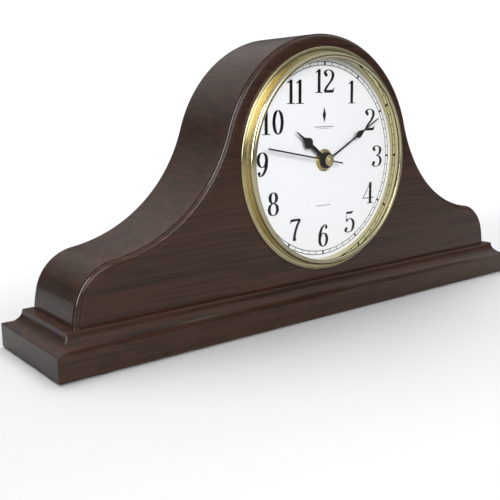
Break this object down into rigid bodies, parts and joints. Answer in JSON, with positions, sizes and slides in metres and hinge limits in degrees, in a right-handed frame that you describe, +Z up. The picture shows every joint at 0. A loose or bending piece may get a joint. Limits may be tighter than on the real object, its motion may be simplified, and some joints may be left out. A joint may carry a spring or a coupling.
{
  "type": "mantel clock",
  "caption": "Hump-backed dark wooden mantel clock with a brass bezel, white dial, spade hands and a battery quartz movement on a stepped base.",
  "frame": {"origin": "middle of the footprint, on the surface that the clock stands on", "axes": "+X to the right seen from the front, along the clock's length; the dial faces -Y; +Z up"},
  "size_m": [0.4, 0.08, 0.1831],
  "materials": {
    "wood_case": "dark walnut stain under semi-gloss lacquer",
    "wood_raw": "bare softwood",
    "felt": "pressed felt",
    "brass": "polished and lacquered",
    "brass_bright": "mirror bright",
    "clear_glass": "clear",
    "dial_white": "satin print",
    "movement_black": "moulded",
    "rubber_black": "matt",
    "gear_plastic": "moulded acetal",
    "copper_wire": "enamelled copper wire",
    "board": "circuit board",
    "resin": "glossy resin",
    "nickel": "nickel plated",
    "steel": "bright",
    "magnet": "sintered",
    "hand_black": "satin black",
    "knob_plastic": "moulded",
    "battery_wrap": "printed sleeve"
  },
  "bodies": {
    "clock_case": {"base_plinth": "wood_case", "corner_blocks": "wood_raw", "base_screws": "steel", "felt_feet": "felt", "front_panel": "wood_case", "case_band": "wood_case", "rear_panel": "wood_case", "bezel_ring": "brass", "reflector_ring": "brass_bright", "glass_lens": "clear_glass", "dial_plate": "dial_white", "movement_case_front": "movement_black", "movement_case_back": "movement_black", "threaded_bush": "brass", "rubber_washer": "rubber_black", "brass_washer": "brass", "hex_nut": "brass", "coil_core": "steel", "coil_bobbin": "gear_plastic", "coil_winding": "copper_wire", "stator_plate": "steel", "circuit_board": "board", "driver_chip": "resin", "quartz_crystal": "nickel", "positive_contact": "nickel", "negative_contact": "nickel"},
    "second_train": {"second_wheel": "gear_plastic", "second_arbor": "steel", "second_hand": "hand_black", "second_hand_cap": "brass"},
    "rotor_body": {"rotor": "magnet"},
    "intermediate_body": {"intermediate_wheel": "gear_plastic"},
    "third_body": {"third_wheel": "gear_plastic"},
    "centre_body": {"centre_wheel": "gear_plastic"},
    "minute_train": {"cannon_pinion": "gear_plastic", "minute_hand": "hand_black"},
    "minute_wheel_body": {"minute_wheel": "gear_plastic"},
    "hour_train": {"hour_wheel": "gear_plastic", "hour_hand": "hand_black"},
    "knob_body": {"set_knob": "knob_plastic"},
    "battery_body": {"aa_battery": "battery_wrap"}
  },
  "joints": [
    {"name": "second_hand_spin", "type": "hinge", "parent": "clock_case", "child": "second_train", "pos_m": [0, -0.0148, 0.1024], "axis": [0, 1, 0], "continuous": true},
    {"name": "minute_hand_spin", "type": "hinge", "parent": "clock_case", "child": "minute_train", "pos_m": [0, -0.0191, 0.1024], "axis": [0, 1, 0], "continuous": true},
    {"name": "rotor_spin", "type": "hinge", "parent": "clock_case", "child": "rotor_body", "pos_m": [-0.0054, -0.0134, 0.11875], "axis": [0, 1, 0], "continuous": true},
    {"name": "intermediate_wheel_spin", "type": "hinge", "parent": "clock_case", "child": "intermediate_body", "pos_m": [-0.0054, -0.0134, 0.11175], "axis": [0, 1, 0], "continuous": true},
    {"name": "third_wheel_spin", "type": "hinge", "parent": "clock_case", "child": "third_body", "pos_m": [0.01069, -0.0162, 0.1039], "axis": [0, 1, 0], "continuous": true},
    {"name": "centre_wheel_spin", "type": "hinge", "parent": "clock_case", "child": "centre_body", "pos_m": [0, -0.0177, 0.1024], "axis": [0, 1, 0], "continuous": true},
    {"name": "minute_wheel_spin", "type": "hinge", "parent": "clock_case", "child": "minute_wheel_body", "pos_m": [-0.00897, -0.0191, 0.10162], "axis": [0, 1, 0], "continuous": true},
    {"name": "hour_hand_spin", "type": "hinge", "parent": "clock_case", "child": "hour_train", "pos_m": [0, -0.0205, 0.1024], "axis": [0, 1, 0], "continuous": true},
    {"name": "set_knob_spin", "type": "hinge", "parent": "clock_case", "child": "knob_body", "pos_m": [-0.01766, -0.0044, 0.10394], "axis": [0, 1, 0], "continuous": true},
    {"name": "battery_slide", "type": "slide", "parent": "clock_case", "child": "battery_body", "axis": [0, 1, 0], "range_m": [0, 0.024]}
  ],
  "couplings": [
    {"joint": "intermediate_wheel_spin", "follows": "second_hand_spin", "ratio": -5},
    {"joint": "rotor_spin", "follows": "second_hand_spin", "ratio": 30},
    {"joint": "third_wheel_spin", "follows": "second_hand_spin", "ratio": -0.13333},
    {"joint": "centre_wheel_spin", "follows": "second_hand_spin", "ratio": 0.016667},
    {"joint": "minute_wheel_spin", "follows": "minute_hand_spin", "ratio": -0.33333},
    {"joint": "hour_hand_spin", "follows": "minute_hand_spin", "ratio": 0.083333},
    {"joint": "set_knob_spin", "follows": "minute_hand_spin", "ratio": 1}
  ]
}
